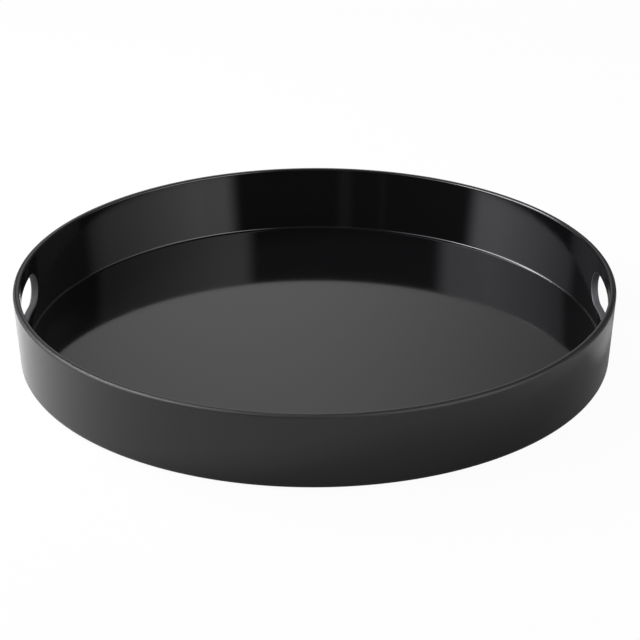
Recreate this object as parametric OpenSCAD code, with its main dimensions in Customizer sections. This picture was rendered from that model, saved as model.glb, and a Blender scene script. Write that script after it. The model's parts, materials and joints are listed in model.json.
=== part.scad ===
// Round serving tray with two hand slots cut through its wall.
// One moulded body stands on six non-slip button feet, each seated in a blind socket.
// Millimetres, +Z up. The origin is the centre of the footprint, on the surface it stands on.
// The hand slots face -X and +X.

/* [Tray] */
// Outside diameter over the rim
rim_d = 400; // [340:1:460]
// Height of the moulding, from its base to the rim
tray_h = 50.5; // [46:0.5:64]
// Wall thickness at the rim
rim_t = 4.5; // [4:0.1:6]
// Outward lean of the outer wall face, in degrees
outer_draft = 3.1; // [1:0.1:5]
// Outward lean of the inner wall face, in degrees
inner_draft = 3.7; // [3:0.1:6]
// Thickness of the floor above the standing ring
floor_t = 4.4; // [4:0.1:6]

/* [Rounded edges] */
// Radius of the outer edge of the rim
rim_outer_fillet = 2; // [1:0.1:2.2]
// Radius of the inner edge of the rim
rim_inner_fillet = 1.3; // [0.8:0.1:1.6]
// Radius where the wall meets the floor inside
floor_fillet = 1.5; // [1:0.1:6]
// Radius where the wall meets the base outside
base_fillet = 3; // [1:0.1:4]

/* [Hand slots] */
// Length of a hand slot
slot_l = 74; // [60:1:90]
// Height of a hand slot
slot_h = 23; // [18:0.5:26]
// Height of a slot's centre above the base of the moulding
slot_z = 28; // [26:0.5:31]

/* [Underside] */
// Width of the standing ring around the underside
ring_w = 34; // [26:1:50]
// Depth of the shallow recess inside the standing ring
recess_h = 0.8; // [0.4:0.1:1.5]

/* [Feet] */
// Diameter of a button foot
foot_d = 14; // [10:0.5:16]
// How far a foot stands below the moulding
foot_proud = 1; // [0.6:0.1:2]
// Depth of the socket that a foot sits in
socket_h = 1.5; // [1:0.1:2]
// Room around a foot in its socket
socket_gap = 0.2; // [0.1:0.05:0.4]
// Radius of a foot's lower edge
foot_edge = 0.6; // [0.2:0.1:0.6]

/* [Hidden] */
$fn = 180;

arc_steps = 8;                // straight steps in each rounded corner of a profile
rim_r = rim_d / 2;
base_z = foot_proud;          // underside of the standing ring
rim_z = base_z + tray_h;      // top of the rim
floor_z = base_z + floor_t;   // top of the floor
base_r = rim_r - tray_h * tan(outer_draft);
inner_r = rim_r - rim_t - (tray_h - floor_t) * tan(inner_draft);  // inner wall face at the floor
recess_r = base_r - ring_w;
recess_fillet = recess_h / 3;
foot_count = 6;
foot_ring_r = base_r - ring_w / 2 - base_fillet / 2;  // middle of the flat part of the ring
foot_turn = 360 / foot_count;
cut = 1;                      // how far a cutter runs past the face it cuts

// Points of the rounding of corner b between neighbours a and c, with radius r
function rounded(a, b, c, r) =
    let (
        u = (a - b) / norm(a - b),
        v = (c - b) / norm(c - b),
        half = acos(u * v) / 2,
        mid = b + (u + v) / norm(u + v) * r / sin(half),
        from = b + u * r / tan(half) - mid,
        sweep = (180 - 2 * half) * sign(u[1] * v[0] - u[0] * v[1])
    )
    [for (i = [0 : arc_steps])
        let (t = sweep * i / arc_steps)
        mid + [from[0] * cos(t) - from[1] * sin(t), from[0] * sin(t) + from[1] * cos(t)]];

// Outline through the corners [x, y, radius], with each corner that has a radius rounded
function outline(corners) =
    let (n = len(corners), p = [for (k = corners) [k[0], k[1]]])
    [for (i = [0 : n - 1])
        each corners[i][2] > 0
            ? rounded(p[(i + n - 1) % n], p[i], p[(i + 1) % n], corners[i][2])
            : [p[i]]];

// Half section of the moulding: underside, outer wall, rim, inner wall, floor
module tray_section() {
    polygon(outline([
        [0, base_z + recess_h, 0],
        [recess_r, base_z + recess_h, recess_fillet],
        [recess_r + recess_h, base_z, recess_fillet],
        [base_r, base_z, base_fillet],
        [rim_r, rim_z, rim_outer_fillet],
        [rim_r - rim_t, rim_z, rim_inner_fillet],
        [inner_r, floor_z, floor_fillet],
        [0, floor_z, 0],
    ]));
}

// Long slot with round ends, centred on the origin
module slot_shape() {
    straight = slot_l - slot_h;
    square([straight, slot_h], center = true);
    for (side = [-1, 1])
        translate([side * straight / 2, 0]) circle(d = slot_h);
}

// Cutter for the hand slot on one side: -1 for -X, 1 for +X
module slot_cutter(side) {
    depth = (rim_r - inner_r) * 3;
    translate([side * (inner_r + rim_r) / 2, 0, base_z + slot_z])
        rotate([90, 0, 90])
            linear_extrude(height = depth, center = true) slot_shape();
}

// Puts its children at foot number i
module at_foot(i) {
    rotate([0, 0, (i - 0.5) * foot_turn])
        translate([foot_ring_r, 0, 0]) children();
}

module tray_body() {
    color("#1c1c1e")
        difference() {
            rotate_extrude() tray_section();
            for (side = [-1, 1]) slot_cutter(side);
            for (i = [1 : foot_count])
                at_foot(i)
                    translate([0, 0, base_z - cut])
                        cylinder(d = foot_d + 2 * socket_gap, h = socket_h + cut);
        }
}

// Button foot: a short disc with a rounded lower edge
module foot(i) {
    color("#38383a")
        at_foot(i)
            rotate_extrude($fn = 64)
                polygon(outline([
                    [0, 0, 0],
                    [foot_d / 2, 0, foot_edge],
                    [foot_d / 2, foot_proud + socket_h, 0],
                    [0, foot_proud + socket_h, 0],
                ]));
}

tray_body();
foot(1);  // foot_1
foot(2);  // foot_2
foot(3);  // foot_3
foot(4);  // foot_4
foot(5);  // foot_5
foot(6);  // foot_6
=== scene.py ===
"""Round serving tray with two hand slots, built around its packed CAD frame.

One compression-moulded melamine body, turned from a single outline, with a rounded hand slot
through each side of its wall and six sockets in its standing ring. Six silicone button feet
fill the sockets. Everything is in metres, +Z up, with the slots facing -X and +X.
"""

import json
import math

import bmesh
import bpy
from mathutils import Matrix, Vector


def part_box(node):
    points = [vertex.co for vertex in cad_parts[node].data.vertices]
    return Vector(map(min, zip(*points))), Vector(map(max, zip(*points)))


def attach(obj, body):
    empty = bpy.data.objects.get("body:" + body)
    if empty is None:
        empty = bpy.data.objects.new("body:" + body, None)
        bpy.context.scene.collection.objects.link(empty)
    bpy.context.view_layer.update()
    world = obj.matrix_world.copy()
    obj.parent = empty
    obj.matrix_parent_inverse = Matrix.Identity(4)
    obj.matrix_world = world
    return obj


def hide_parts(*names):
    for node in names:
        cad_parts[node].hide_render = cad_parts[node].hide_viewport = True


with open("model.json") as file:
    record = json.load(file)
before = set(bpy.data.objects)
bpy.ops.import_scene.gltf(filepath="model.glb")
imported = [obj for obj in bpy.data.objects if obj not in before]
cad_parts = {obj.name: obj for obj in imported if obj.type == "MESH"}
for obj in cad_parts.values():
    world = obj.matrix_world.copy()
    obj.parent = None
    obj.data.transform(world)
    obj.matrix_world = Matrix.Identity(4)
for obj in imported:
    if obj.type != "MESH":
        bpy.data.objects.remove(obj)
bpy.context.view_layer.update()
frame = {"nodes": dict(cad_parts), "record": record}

bl_info = {
    "name": "Round Serving Tray",
    "version": (1, 0, 0),
    "blender": (4, 5, 0),
    "location": "3D View > Sidebar > Serving Tray",
    "description": "Builds a round melamine serving tray with two hand slots and six button feet",
    "category": "Object",
}

MM = 0.001
BODY = "root"
FEET = sorted(name for name in frame["nodes"] if name.startswith("foot_"))
TRAY_LOW, TRAY_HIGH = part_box("tray_body")
FOOT_LOW, FOOT_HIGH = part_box("foot_1")
MOUNTS = {mount["name"]: mount for mount in frame["record"]["mounts"]}
OPENINGS = {opening["name"]: opening["box_m"] for opening in frame["record"]["physics"]["openings"]}

BASE_Z = TRAY_LOW.z
RIM_Z = TRAY_HIGH.z
FLOOR_Z = MOUNTS["serving_floor"]["pos_m"][2]
SLOT_Z = sum(corner[2] for corner in OPENINGS["hand_slot_right"]) / 2
MERGE = 1e-6
FOOT_STEPS_ROUND = 48
WHITE = (1.0, 1.0, 1.0, 1.0)

# material slots of the moulded body
POLISHED, SATIN, ROUTED_PAINTED_LIGHT, BUFFED = range(4)

# how squarely a face has to look outwards or down, as a cosine, to take a finish
BUFFED_OUTWARDS = 0.15
WALL_OUTWARDS = 0.8
UNDERSIDE_DOWN = 0.1


# ---------------------------------------------------------------- settings


class TraySizes(bpy.types.PropertyGroup):
    """Sizes of the moulded body"""

    rim_diameter: bpy.props.FloatProperty(
        name="Rim diameter", description="Outside diameter over the rim, before its edge is rounded",
        default=0.4, unit="LENGTH")
    rim_width: bpy.props.FloatProperty(
        name="Rim width", description="Thickness of the wall at the rim",
        default=4.5 * MM, unit="LENGTH")
    outer_draft: bpy.props.FloatProperty(
        name="Outer draft", description="Outward lean of the outer wall face",
        default=math.radians(3.1), subtype="ANGLE")
    inner_draft: bpy.props.FloatProperty(
        name="Inner draft", description="Outward lean of the inner wall face",
        default=math.radians(3.7), subtype="ANGLE")
    rim_outer_rounding: bpy.props.FloatProperty(
        name="Outer rim rounding", description="Radius of the rim's outer edge",
        default=2.0 * MM, unit="LENGTH")
    rim_inner_rounding: bpy.props.FloatProperty(
        name="Inner rim rounding", description="Radius of the rim's inner edge",
        default=1.3 * MM, unit="LENGTH")
    floor_rounding: bpy.props.FloatProperty(
        name="Floor rounding", description="Radius where the wall meets the floor inside",
        default=1.5 * MM, unit="LENGTH")
    base_rounding: bpy.props.FloatProperty(
        name="Base rounding", description="Radius where the wall meets the base outside",
        default=3.0 * MM, unit="LENGTH")
    ring_width: bpy.props.FloatProperty(
        name="Standing ring width", description="Width of the ring around the underside",
        default=34 * MM, unit="LENGTH")
    recess_depth: bpy.props.FloatProperty(
        name="Recess depth", description="Depth of the recess inside the standing ring",
        default=0.8 * MM, unit="LENGTH")
    slot_length: bpy.props.FloatProperty(
        name="Slot length", description="Length of a hand slot",
        default=74 * MM, unit="LENGTH")
    slot_height: bpy.props.FloatProperty(
        name="Slot height", description="Height of a hand slot",
        default=23 * MM, unit="LENGTH")
    slot_lip: bpy.props.FloatProperty(
        name="Slot lip", description="Rounding of a hand slot's edges",
        default=1.0 * MM, unit="LENGTH")
    steps_round: bpy.props.IntProperty(
        name="Steps round", description="Straight steps in one turn of the body",
        default=480, min=120, max=720)


class FootSizes(bpy.types.PropertyGroup):
    """Sizes of the button feet"""

    diameter: bpy.props.FloatProperty(
        name="Diameter", description="Diameter of a button foot",
        default=14 * MM, unit="LENGTH")
    lower_edge: bpy.props.FloatProperty(
        name="Lower edge", description="Rounding of a foot's lower edge",
        default=0.6 * MM, unit="LENGTH")
    socket_gap: bpy.props.FloatProperty(
        name="Socket gap", description="Room around a foot in its socket",
        default=0.2 * MM, unit="LENGTH")
    first_angle: bpy.props.FloatProperty(
        name="First foot", description="Angle from +X to the first foot",
        default=math.radians(30), subtype="ANGLE")


class FinishSettings(bpy.types.PropertyGroup):
    """Colours and gloss of the finishes, as sRGB hex values"""

    melamine: bpy.props.StringProperty(
        name="Melamine", description="Colour of the moulded melamine, as sRGB hex",
        default="#0a0a0b")
    polished_roughness: bpy.props.FloatProperty(
        name="Polished roughness", description="Roughness inside the tray and on the rim's top",
        default=0.07, min=0.02, max=0.5, subtype="FACTOR")
    satin_roughness: bpy.props.FloatProperty(
        name="Satin roughness", description="Roughness of the outer wall and the underside",
        default=0.14, min=0.05, max=0.8, subtype="FACTOR")
    buffed_roughness: bpy.props.FloatProperty(
        name="Buffed roughness", description="Roughness of the rim's outer edge, buffed by hand",
        default=0.5, min=0.05, max=0.8, subtype="FACTOR")
    # the slot edges' paler grey is painted light: it stands in for the light that falls on the slots'
    # tunnels
    slot_edge_painted_light: bpy.props.StringProperty(
        name="Routed edge", description="Colour of the melamine where the slots are cut, as sRGB hex",
        default="#38383a")
    edge_roughness: bpy.props.FloatProperty(
        name="Edge roughness", description="Roughness of the cut edges of the slots",
        default=0.55, min=0.05, max=0.8, subtype="FACTOR")
    rubber: bpy.props.StringProperty(
        name="Silicone rubber", description="Colour of the feet, as sRGB hex",
        default="#2e2e30")


class StudioSettings(bpy.types.PropertyGroup):
    """Camera and light of the stage"""

    camera_place: bpy.props.FloatVectorProperty(
        name="Camera place", description="Where the camera stands",
        default=(0.0, -1.3, 0.6331), size=3, subtype="TRANSLATION", unit="LENGTH")
    camera_pitch: bpy.props.FloatProperty(
        name="Camera pitch", description="Downward tilt of the camera",
        default=0.4414, subtype="ANGLE")
    camera_yaw: bpy.props.FloatProperty(
        name="Camera yaw", description="Turn of the camera from +Y towards +X",
        default=0.0027, subtype="ANGLE")
    camera_roll: bpy.props.FloatProperty(
        name="Camera roll", description="Roll of the camera about its own line of sight",
        default=-0.0021, subtype="ANGLE")
    lens: bpy.props.FloatProperty(
        name="Lens", description="Focal length on a 36 mm sensor, in millimetres",
        default=120.05)
    side_light: bpy.props.FloatProperty(
        name="Side softboxes", description="Scale of the two wide softboxes' brightness",
        default=1.0, min=0.0)
    key_light: bpy.props.FloatProperty(
        name="Key light", description="Brightness of the high light behind on the left",
        default=19.0, min=0.0)
    back_light: bpy.props.FloatProperty(
        name="Backdrop", description="Brightness of the pale backdrop behind the tray",
        default=0.58, min=0.0)
    room_light: bpy.props.FloatProperty(
        name="Room", description="Brightness of the dim studio all round",
        default=0.15, min=0.0)
    floor_exposure: bpy.props.FloatProperty(
        name="Floor exposure", description="How far the camera sees the floor as plain white",
        default=0.96, min=0.0, max=1.0, subtype="FACTOR")
    window_light: bpy.props.FloatProperty(
        name="Window light", description="Power of the floor's soft light on the left",
        default=17.5, min=0.0, unit="POWER")
    fill_light: bpy.props.FloatProperty(
        name="Fill light", description="Power of the floor's weaker soft light on the right",
        default=2.2, min=0.0, unit="POWER")
    floor_colour: bpy.props.StringProperty(
        name="Floor colour", description="Colour of the studio floor, as sRGB hex",
        default="#929292")


SETTINGS = {
    "tray_sizes": TraySizes,
    "tray_feet": FootSizes,
    "tray_finish": FinishSettings,
    "tray_studio": StudioSettings,
}


# ---------------------------------------------------------------- helpers


def linear(hex_colour):
    """An sRGB hex colour as a linear RGBA colour."""
    channels = [int(hex_colour[i : i + 2], 16) / 255 for i in (1, 3, 5)]
    return [c / 12.92 if c <= 0.04045 else ((c + 0.055) / 1.055) ** 2.4 for c in channels] + [1.0]


def add(tree, kind, inputs=None, **settings):
    """Adds a node to a tree, sets its properties, and sets or links its inputs."""
    node = tree.nodes.new(kind)
    for name, value in settings.items():
        setattr(node, name, value)
    for key, value in (inputs or {}).items():
        if isinstance(value, bpy.types.NodeSocket):
            tree.links.new(value, node.inputs[key])
        else:
            node.inputs[key].default_value = value
    return node


def new_tree(name, sockets):
    """A geometry node tree with named inputs, given as (name, socket type) pairs."""
    tree = bpy.data.node_groups.new(name, "GeometryNodeTree")
    for label, kind in sockets:
        tree.interface.new_socket(label, in_out="INPUT", socket_type=kind)
    tree.interface.new_socket("Geometry", in_out="OUTPUT", socket_type="NodeSocketGeometry")
    return tree


def grown_mesh(name, tree, values):
    """Runs a geometry node tree with the given input values and returns its result as a mesh."""
    carrier = bpy.data.objects.new(name + "_carrier", bpy.data.meshes.new(name + "_carrier"))
    bpy.context.scene.collection.objects.link(carrier)
    modifier = carrier.modifiers.new("Grow", "NODES")
    modifier.node_group = tree
    for item in tree.interface.items_tree:
        if item.in_out == "INPUT" and item.name in values:
            modifier[item.identifier] = values[item.name]
    depsgraph = bpy.context.evaluated_depsgraph_get()
    mesh = bpy.data.meshes.new_from_object(carrier.evaluated_get(depsgraph))
    carrier.modifiers.remove(modifier)
    bpy.data.objects.remove(carrier)
    mesh.name = name
    return mesh


def shown_piece(name, mesh, replaced):
    """Links a finished mesh as a piece that rides on the body and stands for CAD nodes."""
    piece = bpy.data.objects.new(name, mesh)
    bpy.context.scene.collection.objects.link(piece)
    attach(piece, BODY)
    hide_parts(*replaced)
    return piece


# ---------------------------------------------------------------- outlines


def rounded_corner(before, corner, after, radius, steps=8, guard=0.3 * MM):
    """Points of the arc that rounds a corner, with a guard point on the straight at each end."""
    back = (before - corner).normalized()
    ahead = (after - corner).normalized()
    half = back.angle(ahead) / 2
    reach = radius / math.tan(half)
    middle = corner + (back + ahead).normalized() * (radius / math.sin(half))
    start = corner + back * reach - middle
    end = corner + ahead * reach - middle
    turn = start.angle(end)
    arc = [
        middle + (start * math.sin(turn - t) + end * math.sin(t)) / math.sin(turn)
        for t in (turn * step / steps for step in range(steps + 1))
    ]
    return [corner + back * (reach + guard), *arc, corner + ahead * (reach + guard)]


def outline_mesh(name, corners, stops=None):
    """A line of points in the XZ plane through the corners (x, z, rounding).

    stops maps the number of a corner to the extra points on the straight that follows it.
    """
    stops = stops or {}
    places = [Vector((x, z)) for x, z, rounding in corners]
    points = []
    for i, place in enumerate(places):
        rounding = corners[i][2]
        if rounding:
            points += rounded_corner(places[i - 1], place, places[i + 1], rounding)
        else:
            points.append(place)
        points += stops.get(i, [])
    mesh = bpy.data.meshes.new(name)
    edges = [(i, i + 1) for i in range(len(points) - 1)]
    mesh.from_pydata([(p.x, 0, p.y) for p in points], edges, [])
    outline = bpy.data.objects.new(name, mesh)
    bpy.context.scene.collection.objects.link(outline)
    return outline


def spread(low, high, count):
    """Evenly spaced values from low to high, both included, in count steps."""
    return [low + (high - low) * i / count for i in range(count + 1)]


# ---------------------------------------------------------------- geometry node trees


def turning_tree():
    """Turns an outline round the Z axis: a grid whose columns are copies of the outline."""
    tree = new_tree("Turned Outline", [
        ("Outline", "NodeSocketObject"),
        ("Steps Round", "NodeSocketInt"),
        ("Material", "NodeSocketMaterial"),
    ])
    group = add(tree, "NodeGroupInput").outputs
    outline = add(tree, "GeometryNodeObjectInfo", {"Object": group["Outline"]})
    rows = add(tree, "GeometryNodeAttributeDomainSize", {"Geometry": outline.outputs["Geometry"]})
    rows = rows.outputs["Point Count"]
    columns = add(tree, "ShaderNodeMath", {0: group["Steps Round"], 1: 1.0}, operation="ADD")
    grid = add(tree, "GeometryNodeMeshGrid", {"Vertices X": columns.outputs[0], "Vertices Y": rows})
    index = add(tree, "GeometryNodeInputIndex").outputs[0]
    row = add(tree, "ShaderNodeMath", {0: index, 1: rows}, operation="MODULO").outputs[0]
    ratio = add(tree, "ShaderNodeMath", {0: index, 1: rows}, operation="DIVIDE").outputs[0]
    column = add(tree, "ShaderNodeMath", {0: ratio}, operation="FLOOR").outputs[0]
    share = add(tree, "ShaderNodeMath", {0: column, 1: group["Steps Round"]}, operation="DIVIDE")
    angle = add(tree, "ShaderNodeMath", {0: share.outputs[0], 1: math.tau}, operation="MULTIPLY")
    point = add(tree, "GeometryNodeSampleIndex", data_type="FLOAT_VECTOR", domain="POINT")
    tree.links.new(outline.outputs["Geometry"], point.inputs["Geometry"])
    tree.links.new(add(tree, "GeometryNodeInputPosition").outputs[0], point.inputs["Value"])
    tree.links.new(row, point.inputs["Index"])
    turned = add(tree, "ShaderNodeVectorRotate", {
        "Vector": point.outputs["Value"],
        "Angle": angle.outputs[0],
    }, rotation_type="Z_AXIS")
    shell = add(tree, "GeometryNodeSetPosition", {
        "Geometry": grid.outputs["Mesh"],
        "Position": turned.outputs[0],
    })
    closed = add(tree, "GeometryNodeMergeByDistance", {
        "Geometry": shell.outputs[0],
        "Distance": MERGE,
    })
    whole = add(tree, "GeometryNodeRealizeInstances", {"Geometry": closed.outputs[0]})
    finished = add(tree, "GeometryNodeSetMaterial", {
        "Geometry": whole.outputs[0],
        "Material": group["Material"],
    })
    add(tree, "NodeGroupOutput", {"Geometry": finished.outputs[0]})
    return tree


def foot_ring_tree(turning):
    """Stands turned feet at even steps round a circle."""
    tree = new_tree("Ring Of Feet", [
        ("Outline", "NodeSocketObject"),
        ("Steps Round", "NodeSocketInt"),
        ("Feet", "NodeSocketInt"),
        ("Ring Radius", "NodeSocketFloat"),
        ("First Angle", "NodeSocketFloat"),
        ("Material", "NodeSocketMaterial"),
    ])
    group = add(tree, "NodeGroupInput").outputs
    foot = add(tree, "GeometryNodeGroup", node_tree=turning)
    for name in ("Outline", "Steps Round", "Material"):
        tree.links.new(group[name], foot.inputs[name])
    ring = add(tree, "GeometryNodeMeshCircle", {
        "Vertices": group["Feet"],
        "Radius": group["Ring Radius"],
    })
    turn = add(tree, "ShaderNodeCombineXYZ", {"Z": group["First Angle"]})
    turned = add(tree, "GeometryNodeTransform", {
        "Geometry": ring.outputs[0],
        "Rotation": turn.outputs[0],
    })
    stood = add(tree, "GeometryNodeInstanceOnPoints", {
        "Points": turned.outputs[0],
        "Instance": foot.outputs[0],
    })
    whole = add(tree, "GeometryNodeRealizeInstances", {"Geometry": stood.outputs[0]})
    finished = add(tree, "GeometryNodeSetMaterial", {
        "Geometry": whole.outputs[0],
        "Material": group["Material"],
    })
    add(tree, "NodeGroupOutput", {"Geometry": finished.outputs[0]})
    return tree


# ---------------------------------------------------------------- materials


def new_material(name):
    """An empty node material with its output node and object coordinates."""
    material = bpy.data.materials.new(name)
    material.use_nodes = True
    tree = material.node_tree
    tree.nodes.clear()
    output = add(tree, "ShaderNodeOutputMaterial")
    coordinates = add(tree, "ShaderNodeTexCoord").outputs["Object"]
    return material, tree, output, coordinates


def melamine(name, colour, roughness, grain, ripple=0.02 * MM):
    """Compression-moulded melamine: a hard, dense resin that takes the mould's own finish.

    ripple is the height of the broad flow waves, and grain the height of the fine mould
    texture. Both are tens of micrometres or less, which gives the eye soft, slightly uneven
    edges on the reflections of a surface that is nearly black by itself.
    """
    material, tree, output, place = new_material(name)
    waves = add(tree, "ShaderNodeTexNoise", {
        "Vector": place, "Scale": 1 / (38 * MM), "Detail": 1.0, "Roughness": 0.4})
    pores = add(tree, "ShaderNodeTexNoise", {
        "Vector": place, "Scale": 1 / (0.9 * MM), "Detail": 2.0, "Roughness": 0.6})
    broad = add(tree, "ShaderNodeBump", {
        "Height": waves.outputs["Fac"], "Strength": 1.0, "Distance": ripple})
    fine = add(tree, "ShaderNodeBump", {
        "Height": pores.outputs["Fac"], "Strength": 1.0, "Distance": grain,
        "Normal": broad.outputs["Normal"]})
    wear = add(tree, "ShaderNodeTexNoise", {
        "Vector": place, "Scale": 1 / (12 * MM), "Detail": 4.0, "Roughness": 0.65})
    sheen = add(tree, "ShaderNodeMapRange", {
        "Value": wear.outputs["Fac"], "From Min": 0.3, "From Max": 0.7,
        "To Min": roughness * 0.9, "To Max": roughness * 1.12})
    shader = add(tree, "ShaderNodeBsdfPrincipled", {
        "Base Color": linear(colour), "Roughness": sheen.outputs["Result"], "IOR": 1.5,
        "Normal": fine.outputs["Normal"]})
    tree.links.new(shader.outputs[0], output.inputs["Surface"])
    return material


def silicone_rubber(colour):
    """Moulded silicone rubber: soft and matt, with a fine dusty grain."""
    material, tree, output, place = new_material("moulded_silicone_rubber")
    dust = add(tree, "ShaderNodeTexNoise", {
        "Vector": place, "Scale": 1 / (0.5 * MM), "Detail": 3.0})
    # sockets 6 and 7 are the two colours, which share their names with the two numbers
    tint = add(tree, "ShaderNodeMix", {
        "Factor": dust.outputs["Fac"], 6: [c * 0.8 for c in linear(colour)],
        7: [c * 1.25 for c in linear(colour)]}, data_type="RGBA")
    skin = add(tree, "ShaderNodeBump", {
        "Height": dust.outputs["Fac"], "Strength": 0.6, "Distance": 0.03 * MM})
    shader = add(tree, "ShaderNodeBsdfPrincipled", {
        "Base Color": tint.outputs[2], "Roughness": 0.72, "IOR": 1.41,
        "Normal": skin.outputs["Normal"]})
    tree.links.new(shader.outputs[0], output.inputs["Surface"])
    return material


# ---------------------------------------------------------------- slots and sockets


def slot_path(end_radius, half_straight, side_steps, top_steps):
    """Where each point of a slot's outline lies: (centre of its end circle, angle).

    The points start low on the right and run anticlockwise: up the right side, back along the
    top, down the left side and along the bottom, each side ending at 45 degrees on the ends.
    """
    right = [(half_straight, -math.pi / 4 + math.pi / 2 * i / side_steps)
             for i in range(side_steps)]
    corner_arc = math.pi / 4 * end_radius
    top = []
    for travelled in spread(0, 2 * (corner_arc + half_straight), top_steps)[:-1]:
        if travelled < corner_arc:
            top.append((half_straight, math.pi / 4 + travelled / end_radius))
        elif travelled <= corner_arc + 2 * half_straight:
            top.append((half_straight - (travelled - corner_arc), math.pi / 2))
        else:
            rest = travelled - corner_arc - 2 * half_straight
            top.append((-half_straight, math.pi / 2 + rest / end_radius))
    first_half = right + top
    return first_half + [(-centre, angle + math.pi) for centre, angle in first_half]


def slot_points(path, radius):
    """The slot's outline at a given end radius, as (across, up) points."""
    return [Vector((centre + radius * math.cos(angle), radius * math.sin(angle)))
            for centre, angle in path]


def window_border(half_columns, rows, column_step, across_up):
    """The border of a window in the turned shell, in the order of slot_path."""
    last = len(rows) - 1
    cells = [(half_columns, j) for j in range(last)]
    cells += [(half_columns - i, last) for i in range(2 * half_columns)]
    cells += [(-half_columns, last - j) for j in range(last)]
    cells += [(-half_columns + i, 0) for i in range(2 * half_columns)]
    return [across_up(i * column_step, rows[j]) for i, j in cells]


def blended(loop_a, loop_b, share):
    """The loop that lies at a share of the way from loop_a to loop_b."""
    return [a.lerp(b, share) for a, b in zip(loop_a, loop_b)]


def bridge(mesh, loops, close_with=None):
    """Joins neighbouring loops of points with quads, and the last one to a point if given."""
    rings = [[mesh.verts.new(point) for point in loop] for loop in loops]
    count = len(rings[0])
    for one, two in zip(rings, rings[1:]):
        for i in range(count):
            j = (i + 1) % count
            mesh.faces.new((one[i], one[j], two[j], two[i]))
    if close_with is not None:
        tip = mesh.verts.new(close_with)
        for i in range(count):
            mesh.faces.new((rings[-1][i], rings[-1][(i + 1) % count], tip))


class TrayPlan:
    """The places that the body's outline, slots and sockets share, from the chosen sizes."""

    wall_margin = 4 * MM
    socket_margin = 2.8 * MM
    floor_margin = 10 * MM
    wall_rows = 12
    socket_rows = 8
    floor_rows = 9

    def __init__(self, sizes, feet):
        self.sizes = sizes
        self.rim_r = sizes.rim_diameter / 2
        self.base_r = self.outer_radius(BASE_Z)
        self.inner_r = self.inner_radius(FLOOR_Z)
        self.recess_r = self.base_r - sizes.ring_width
        self.step = math.tau / sizes.steps_round
        half_height = sizes.slot_height / 2
        self.wall_z = spread(SLOT_Z - half_height - self.wall_margin,
                             SLOT_Z + half_height + self.wall_margin, self.wall_rows)
        reach = sizes.slot_length / 2 + self.wall_margin
        self.wall_columns = math.ceil(math.asin(reach / self.inner_r) / self.step)
        self.foot_ring = self.base_r - sizes.ring_width / 2 - sizes.base_rounding / 2
        self.socket_r = feet.diameter / 2 + feet.socket_gap
        self.socket_top = FOOT_HIGH.z
        reach = self.socket_r + self.socket_margin
        self.socket_radii = spread(self.foot_ring - reach, self.foot_ring + reach, self.socket_rows)
        self.socket_columns = math.ceil(math.asin(reach / self.foot_ring) / self.step)
        turn = math.tau / len(FEET)
        self.foot_angles = [feet.first_angle + turn * i for i in range(len(FEET))]

    def outer_radius(self, z):
        """Radius of the outer wall face at a height."""
        return self.rim_r - (RIM_Z - z) * math.tan(self.sizes.outer_draft)

    def inner_radius(self, z):
        """Radius of the inner wall face at a height."""
        lean = math.tan(self.sizes.inner_draft)
        return self.rim_r - self.sizes.rim_width - (RIM_Z - z) * lean

    def outline(self):
        """The body's half section: underside, outer wall, rim, inner wall and floor."""
        sizes = self.sizes
        recess_z = BASE_Z + sizes.recess_depth
        recess_edge = sizes.recess_depth / 3
        corners = [
            (0, recess_z, 0),
            (self.recess_r, recess_z, recess_edge),
            (self.recess_r + sizes.recess_depth, BASE_Z, recess_edge),
            (self.base_r, BASE_Z, sizes.base_rounding),
            (self.rim_r, RIM_Z, sizes.rim_outer_rounding),
            (self.rim_r - sizes.rim_width, RIM_Z, sizes.rim_inner_rounding),
            (self.inner_r, FLOOR_Z, sizes.floor_rounding),
            (0, FLOOR_Z, 0),
        ]
        margin = self.floor_margin
        floor_rings = spread(self.inner_r - margin, margin, self.floor_rows)
        recess_rings = [r for r in reversed(floor_rings) if r < self.recess_r - margin / 2]
        stops = {
            0: [Vector((r, recess_z)) for r in recess_rings],
            2: [Vector((r, BASE_Z)) for r in self.socket_radii],
            3: [Vector((self.outer_radius(z), z)) for z in self.wall_z],
            5: [Vector((self.inner_radius(z), z)) for z in reversed(self.wall_z)],
            6: [Vector((r, FLOOR_Z)) for r in floor_rings],
        }
        return outline_mesh("body_outline", corners, stops)

    def in_window(self, centre):
        """Whether a face with this centre lies where a slot or a socket opens the shell."""
        angle = math.atan2(centre.y, abs(centre.x))
        beside_slot = abs(angle) < self.wall_columns * self.step
        if beside_slot and self.wall_z[0] < centre.z < self.wall_z[-1]:
            return True
        radius = math.hypot(centre.x, centre.y)
        on_ring = self.socket_radii[0] < radius < self.socket_radii[-1]
        if not on_ring or centre.z > BASE_Z + MERGE:
            return False
        angle = math.atan2(centre.y, centre.x)
        return any(abs(math.remainder(angle - foot, math.tau)) < self.socket_columns * self.step
                   for foot in self.foot_angles)


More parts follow.
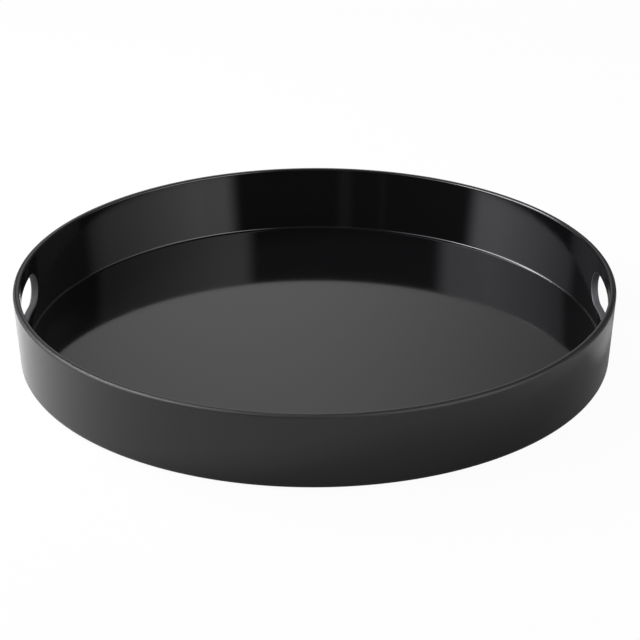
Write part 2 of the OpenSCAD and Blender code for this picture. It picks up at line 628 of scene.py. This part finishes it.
def slot_loops(plan, side):
    """Loops of points from the outer wall, over a rounded lip and through to the inner wall."""
    sizes = plan.sizes
    end_radius = sizes.slot_height / 2
    half_straight = sizes.slot_length / 2 - end_radius
    path = slot_path(end_radius, half_straight, plan.wall_rows, 2 * plan.wall_columns)
    lip = sizes.slot_lip
    guard = 0.4 * MM
    mouth = slot_points(path, end_radius)
    lip_edge = slot_points(path, end_radius + lip)
    lip_guard = slot_points(path, end_radius + lip + guard)

    def face_loops(face_radius, inward):
        """Loops on one wall face, from the window's border to the start of the tunnel."""
        def border_point(angle, z):
            return Vector((face_radius(z) * math.sin(angle), z - SLOT_Z))

        def on_face(point):
            z = SLOT_Z + point.y
            return Vector((side * math.sqrt(face_radius(z) ** 2 - point.x ** 2), point.x, z))

        border = window_border(plan.wall_columns, plan.wall_z, plan.step, border_point)
        loops = [[on_face(p) for p in blended(border, lip_guard, t)] for t in spread(0, 1, 4)]
        outer_edge = [on_face(p) for p in lip_edge]
        corner = [on_face(p) for p in mouth]
        depth = Vector((side * inward * lip, 0, 0))
        for t in spread(0, math.pi / 2, 6):
            loops.append([c + (a - c) * (1 - math.sin(t)) + depth * (1 - math.cos(t))
                          for a, c in zip(outer_edge, corner)])
        loops.append([p + depth.normalized() * guard for p in loops[-1]])
        return loops

    outside = face_loops(plan.outer_radius, -1)
    inside = face_loops(plan.inner_radius, 1)
    return outside + inside[::-1]


def socket_loops(plan, angle):
    """Loops of points from the standing ring, over a small lip and up the socket's wall."""
    path = slot_path(plan.socket_r, 0, plan.socket_rows, 2 * plan.socket_columns)
    lip = 0.25 * MM
    across = Vector((-math.sin(angle), math.cos(angle), 0))
    outward = Vector((math.cos(angle), math.sin(angle), 0))

    def on_ring(point, z=BASE_Z):
        return outward * (plan.foot_ring + point.y) + across * point.x + Vector((0, 0, z))

    def border_point(turn, radius):
        return Vector((radius * math.sin(turn), radius * math.cos(turn) - plan.foot_ring))

    border = window_border(plan.socket_columns, plan.socket_radii, plan.step, border_point)
    guard = slot_points(path, plan.socket_r + 2 * lip)
    flat = [[on_ring(p) for p in blended(border, guard, t)] for t in spread(0, 1, 2)]
    rounded = [
        [on_ring(p, BASE_Z + lip * (1 - math.cos(t)))
         for p in slot_points(path, plan.socket_r + lip * (1 - math.sin(t)))]
        for t in spread(0, math.pi / 2, 3)
    ]
    wall = [[on_ring(p, z) for p in slot_points(path, plan.socket_r)]
            for z in (BASE_Z + 1.5 * lip, plan.socket_top - lip / 2, plan.socket_top)]
    top = [[on_ring(p, plan.socket_top) for p in slot_points(path, plan.socket_r - lip / 2)]]
    return flat + rounded + wall + top, on_ring(Vector((0, 0)), plan.socket_top)


def finish_of_face(plan, face):
    """The material slot of a face, from where it lies on the body and which way it looks."""
    centre = face.calc_center_median()
    sizes = plan.sizes
    half_height = sizes.slot_height / 2
    beyond_straight = max(0, abs(centre.y) - (sizes.slot_length / 2 - half_height))
    from_slot = math.hypot(beyond_straight, centre.z - SLOT_Z)
    routed_reach = half_height + 0.7 * sizes.slot_lip
    if from_slot < routed_reach and abs(centre.x) > plan.inner_r / 2:
        return ROUTED_PAINTED_LIGHT
    radius = math.hypot(centre.x, centre.y)
    in_outer_half = radius > (plan.outer_radius(centre.z) + plan.inner_radius(centre.z)) / 2
    facing_out = face.normal.dot(Vector((centre.x, centre.y, 0)).normalized())
    if in_outer_half and centre.z > RIM_Z - sizes.rim_outer_rounding:
        return BUFFED if facing_out > BUFFED_OUTWARDS else POLISHED
    outer_wall = in_outer_half and facing_out > WALL_OUTWARDS
    underside = face.normal.z < -UNDERSIDE_DOWN and centre.z < FLOOR_Z
    return SATIN if outer_wall or underside else POLISHED


# ---------------------------------------------------------------- operators


class TRAY_OT_moulded_body(bpy.types.Operator):
    """Turns the body from its outline, then opens the hand slots and the feet's sockets"""

    bl_idname = "tray.moulded_body"
    bl_label = "Moulded Body"

    def execute(self, context):
        scene = context.scene
        plan = TrayPlan(scene.tray_sizes, scene.tray_feet)
        look = scene.tray_finish
        # from a polished mould half: clear reflections of the softboxes
        polished = melamine("polished_moulded_melamine", look.melamine,
                            look.polished_roughness, grain=0.0004 * MM)
        # from a stoned mould half: the same reflections, blurred along their edges
        satin = melamine("satin_moulded_melamine", look.melamine,
                         look.satin_roughness, grain=0.004 * MM)
        # cut after moulding: a dull band whose paler grey is painted light, standing in for the side
        # softboxes lighting the slots' tunnels
        routed_painted_light = melamine("routed_edge_painted_light", look.slot_edge_painted_light,
                          look.edge_roughness, grain=0.006 * MM)
        # where the mould's flash is buffed off: a dull line along the rim's outer edge
        buffed = melamine("buffed_melamine_edge", look.melamine,
                          look.buffed_roughness, grain=0.004 * MM)
        outline = plan.outline()
        mesh = grown_mesh("moulded_body", turning_tree(), {
            "Outline": outline,
            "Steps Round": scene.tray_sizes.steps_round,
            "Material": polished,
        })
        bpy.data.objects.remove(outline)
        shell = bmesh.new()
        shell.from_mesh(mesh)
        opened = [face for face in shell.faces if plan.in_window(face.calc_center_median())]
        bmesh.ops.delete(shell, geom=opened, context="FACES")
        for side in (-1, 1):
            bridge(shell, slot_loops(plan, side))
        for angle in plan.foot_angles:
            bridge(shell, *socket_loops(plan, angle))
        bmesh.ops.remove_doubles(shell, verts=shell.verts, dist=5 * MERGE)
        bmesh.ops.recalc_face_normals(shell, faces=shell.faces)
        loose = [edge for edge in shell.edges if not edge.is_manifold]
        if loose:
            raise RuntimeError(f"the moulded body has {len(loose)} open edges")
        for face in shell.faces:
            face.smooth = True
            face.material_index = finish_of_face(plan, face)
        mesh.materials.clear()
        finishes = {POLISHED: polished, SATIN: satin, ROUTED_PAINTED_LIGHT: routed_painted_light, BUFFED: buffed}
        for slot in sorted(finishes):
            mesh.materials.append(finishes[slot])
        shell.to_mesh(mesh)
        shell.free()
        shown_piece("moulded_body", mesh, ["tray_body"])
        return {"FINISHED"}


class TRAY_OT_button_feet(bpy.types.Operator):
    """Makes the ring of silicone button feet"""

    bl_idname = "tray.button_feet"
    bl_label = "Button Feet"

    def execute(self, context):
        scene = context.scene
        plan = TrayPlan(scene.tray_sizes, scene.tray_feet)
        radius = scene.tray_feet.diameter / 2
        edge = scene.tray_feet.lower_edge
        outline = outline_mesh("foot_outline", [
            (0, FOOT_LOW.z, 0),
            (radius, FOOT_LOW.z, edge),
            (radius, FOOT_HIGH.z, edge / 3),
            (0, FOOT_HIGH.z, 0),
        ])
        mesh = grown_mesh("button_feet", foot_ring_tree(turning_tree()), {
            "Outline": outline,
            "Steps Round": FOOT_STEPS_ROUND,
            "Feet": len(FEET),
            "Ring Radius": plan.foot_ring,
            "First Angle": scene.tray_feet.first_angle,
            "Material": silicone_rubber(scene.tray_finish.rubber),
        })
        bpy.data.objects.remove(outline)
        feet = bmesh.new()
        feet.from_mesh(mesh)
        bmesh.ops.recalc_face_normals(feet, faces=feet.faces)
        for face in feet.faces:
            face.smooth = True
        feet.to_mesh(mesh)
        feet.free()
        shown_piece("button_feet", mesh, FEET)
        return {"FINISHED"}


def soft_step(tree, value, start, end):
    """A socket that rises smoothly from 0 to 1 as value goes from start to end, or falls."""
    falls = start > end
    return add(tree, "ShaderNodeMapRange", {
        "Value": value, "From Min": min(start, end), "From Max": max(start, end),
        "To Min": 1.0 if falls else 0.0, "To Max": 0.0 if falls else 1.0,
    }, interpolation_type="SMOOTHSTEP").outputs["Result"]


def multiplied(tree, sockets):
    """The product of several sockets, as a socket."""
    result = sockets[0]
    for socket in sockets[1:]:
        result = add(tree, "ShaderNodeMath", {0: result, 1: socket}, operation="MULTIPLY").outputs[0]
    return result


def light_patch(tree, azimuth, elevation, *, name, side, back, front, low, high, soft,
                brightness, lean=0.0, curve=1.0, colour="#ffffff"):
    """The light of one soft-edged patch of the studio, by direction, as a shader.

    All angles are in degrees. back and front are its upright edges, counted from +Y towards +X
    (side 1) or -X (side -1), and soft is how wide its edges fade. The front edge leans forward
    by lean degrees for each degree of height. The brightness goes from the first value at the
    back edge to the second at the front edge, along a curve.
    """
    turned = add(tree, "ShaderNodeMath", {0: azimuth, 1: side}, operation="MULTIPLY").outputs[0]
    rise = add(tree, "ShaderNodeMath", {0: elevation, 1: lean}, operation="MULTIPLY")
    upright = add(tree, "ShaderNodeMath", {0: turned, 1: rise.outputs[0]}, operation="SUBTRACT")
    half = soft / 2
    masks = [
        soft_step(tree, turned, back - half, back + half),
        soft_step(tree, upright.outputs[0], front + half, front - half),
        soft_step(tree, elevation, low - half, low + half),
        soft_step(tree, elevation, high + half, high - half),
    ]
    share = add(tree, "ShaderNodeMapRange", {"Value": turned, "From Min": back, "From Max": front})
    share = add(tree, "ShaderNodeMath", {0: share.outputs["Result"], 1: curve}, operation="POWER")
    level = add(tree, "ShaderNodeMapRange", {
        "Value": share.outputs[0], "To Min": brightness[0], "To Max": brightness[1]})
    strength = multiplied(tree, [level.outputs["Result"], *masks])
    return add(tree, "ShaderNodeBackground", {
        "Color": linear(colour), "Strength": strength}, label=name).outputs[0]


def studio_patches(look):
    """The lights of a dark studio: a softbox on each side, a key light and a pale backdrop."""
    side, key, back = look.side_light, look.key_light, look.back_light
    return [
        dict(name="left softbox", side=-1, back=52, front=99, lean=0.8, low=2, high=54,
             soft=9, curve=1.25, colour="#f7f7ff", brightness=(0.9 * side, 5.9 * side)),
        dict(name="right softbox", side=1, back=76, front=141, lean=0.35, low=2, high=54,
             soft=8, curve=1.6, brightness=(0.7 * side, 4.3 * side)),
        dict(name="lower half of the right softbox", side=1, back=82, front=126, lean=0.6,
             low=2, high=22, soft=12, brightness=(0.7 * side, 0.9 * side)),
        dict(name="key light", side=-1, back=40, front=110, low=39, high=49, soft=4,
             brightness=(key, key)),
        dict(name="backdrop", side=1, back=-10, front=5.5, low=-10, high=44, soft=15,
             brightness=(back, back)),
        dict(name="wide gap between two screens", side=-1, back=165, front=170, low=2, high=24,
             soft=4, brightness=(0.3, 0.3)),
        dict(name="narrow gap between two screens", side=-1, back=151, front=153, low=2,
             high=24, soft=3, brightness=(0.2, 0.2)),
        dict(name="glow under the table, seen only from below", side=1, back=-190, front=190,
             low=-100, high=-14, soft=14, brightness=(0.4, 0.4)),
        dict(name="softbox under the table, seen only from below", side=-1, back=20, front=112,
             low=-76, high=-22, soft=16, brightness=(0.9, 2.4)),
    ]


def studio_world(look):
    """Lights the tray by direction, while the camera itself sees plain white."""
    world = bpy.data.worlds.new("studio")
    bpy.context.scene.world = world
    world.use_nodes = True
    tree = world.node_tree
    tree.nodes.clear()
    direction = add(tree, "ShaderNodeTexCoord").outputs["Generated"]
    axes = add(tree, "ShaderNodeSeparateXYZ", {0: direction}).outputs
    turn = add(tree, "ShaderNodeMath", {0: axes["X"], 1: axes["Y"]}, operation="ARCTAN2")
    azimuth = add(tree, "ShaderNodeMath", {0: turn.outputs[0]}, operation="DEGREES").outputs[0]
    rise = add(tree, "ShaderNodeMath", {0: axes["Z"]}, operation="ARCSINE")
    elevation = add(tree, "ShaderNodeMath", {0: rise.outputs[0]}, operation="DEGREES").outputs[0]
    total = add(tree, "ShaderNodeBackground", {"Color": WHITE, "Strength": look.room_light})
    total = total.outputs[0]
    for patch in studio_patches(look):
        light = light_patch(tree, azimuth, elevation, **patch)
        total = add(tree, "ShaderNodeAddShader", {0: total, 1: light}).outputs[0]
    white = add(tree, "ShaderNodeBackground", {"Color": WHITE, "Strength": 1.0})
    seen = add(tree, "ShaderNodeLightPath").outputs["Is Camera Ray"]
    sky = add(tree, "ShaderNodeMixShader", {0: seen, 1: total, 2: white.outputs[0]})
    add(tree, "ShaderNodeOutputWorld", {"Surface": sky.outputs[0]})


def studio_floor(look):
    """A wide pale floor, overexposed to white as a lit table is, and clear from below."""
    mesh = bpy.data.meshes.new("studio_floor")
    half = 20.0
    corners = [(-half, -half, 0), (half, -half, 0), (half, half, 0), (-half, half, 0)]
    mesh.from_pydata(corners, [], [(0, 1, 2, 3)])
    floor = bpy.data.objects.new("studio_floor", mesh)
    bpy.context.scene.collection.objects.link(floor)
    material, tree, output, place = new_material("matt_studio_paper")
    paper = add(tree, "ShaderNodeBsdfDiffuse", {"Color": linear(look.floor_colour)})
    white = add(tree, "ShaderNodeEmission", {"Color": WHITE, "Strength": 1.0})
    path = add(tree, "ShaderNodeLightPath").outputs
    exposed = add(tree, "ShaderNodeMath", {
        0: path["Is Camera Ray"], 1: look.floor_exposure}, operation="MULTIPLY")
    both = add(tree, "ShaderNodeMixShader", {
        0: exposed.outputs[0], 1: paper.outputs[0], 2: white.outputs[0]})
    back = add(tree, "ShaderNodeNewGeometry").outputs["Backfacing"]
    below = add(tree, "ShaderNodeMath", {
        0: back, 1: path["Transparent Depth"]}, operation="ADD", use_clamp=True).outputs[0]
    clear = add(tree, "ShaderNodeBsdfTransparent")
    one_sided = add(tree, "ShaderNodeMixShader", {
        0: below, 1: both.outputs[0], 2: clear.outputs[0]})
    tree.links.new(one_sided.outputs[0], output.inputs["Surface"])
    mesh.materials.append(material)
    return floor


def floor_light(name, lit, azimuth, power, elevation=35, distance=0.85, width=0.4):
    """A soft light close to the tray, by its angles in degrees, which lights the floor alone."""
    data = bpy.data.lights.new(name, "AREA")
    data.size = width
    data.energy = power
    light = bpy.data.objects.new(name, data)
    bpy.context.scene.collection.objects.link(light)
    turn, rise = math.radians(azimuth), math.radians(elevation)
    direction = Vector((math.sin(turn) * math.cos(rise), math.cos(turn) * math.cos(rise),
                        math.sin(rise)))
    light.location = direction * distance
    light.rotation_euler = direction.to_track_quat("Z", "Y").to_euler()
    light.visible_glossy = False
    light.visible_camera = False
    light.light_linking.receiver_collection = lit


def studio_camera(look):
    """The camera, from its place, tilt, turn and roll."""
    data = bpy.data.cameras.new("studio_camera")
    data.lens = look.lens
    data.sensor_width = 36
    camera = bpy.data.objects.new("studio_camera", data)
    bpy.context.scene.collection.objects.link(camera)
    turn = Matrix.Rotation(-look.camera_yaw, 4, "Z")
    tilt = Matrix.Rotation(math.pi / 2 - look.camera_pitch, 4, "X")
    roll = Matrix.Rotation(look.camera_roll, 4, "Z")
    camera.matrix_world = Matrix.Translation(look.camera_place) @ turn @ tilt @ roll
    bpy.context.scene.camera = camera


class TRAY_OT_studio(bpy.types.Operator):
    """Makes the floor, the soft studio light and the camera"""

    bl_idname = "tray.studio"
    bl_label = "Studio"

    def execute(self, context):
        look = context.scene.tray_studio
        lit = bpy.data.collections.new("lit_floor")
        lit.objects.link(studio_floor(look))
        floor_light("window_light", lit, -68, look.window_light)
        floor_light("fill_light", lit, 95, look.fill_light)
        studio_world(look)
        studio_camera(look)
        context.scene.view_settings.view_transform = "Standard"
        return {"FINISHED"}


OPERATORS = (TRAY_OT_studio, TRAY_OT_moulded_body, TRAY_OT_button_feet)


class TRAY_PT_panel(bpy.types.Panel):
    """Lists the tray's sizes, colours and operators in the sidebar"""

    bl_idname = "TRAY_PT_panel"
    bl_label = "Serving Tray"
    bl_space_type = "VIEW_3D"
    bl_region_type = "UI"
    bl_category = "Serving Tray"

    def draw(self, context):
        for name, settings in SETTINGS.items():
            column = self.layout.column(heading=settings.__doc__)
            for key in settings.__annotations__:
                column.prop(getattr(context.scene, name), key)
        for operator in OPERATORS:
            self.layout.operator(operator.bl_idname)


# ---------------------------------------------------------------- registration


def register():
    for item in (*SETTINGS.values(), *OPERATORS, TRAY_PT_panel):
        bpy.utils.register_class(item)
    for name, settings in SETTINGS.items():
        setattr(bpy.types.Scene, name, bpy.props.PointerProperty(type=settings))


def unregister():
    for name in SETTINGS:
        delattr(bpy.types.Scene, name)
    for item in reversed((*SETTINGS.values(), *OPERATORS, TRAY_PT_panel)):
        bpy.utils.unregister_class(item)


def main():
    """Builds the stage and the tray, and writes the CAD box and the visual box."""
    register()
    bpy.ops.tray.studio()
    bpy.ops.tray.moulded_body()
    bpy.ops.tray.button_feet()


if __name__ == "__main__":
    main()
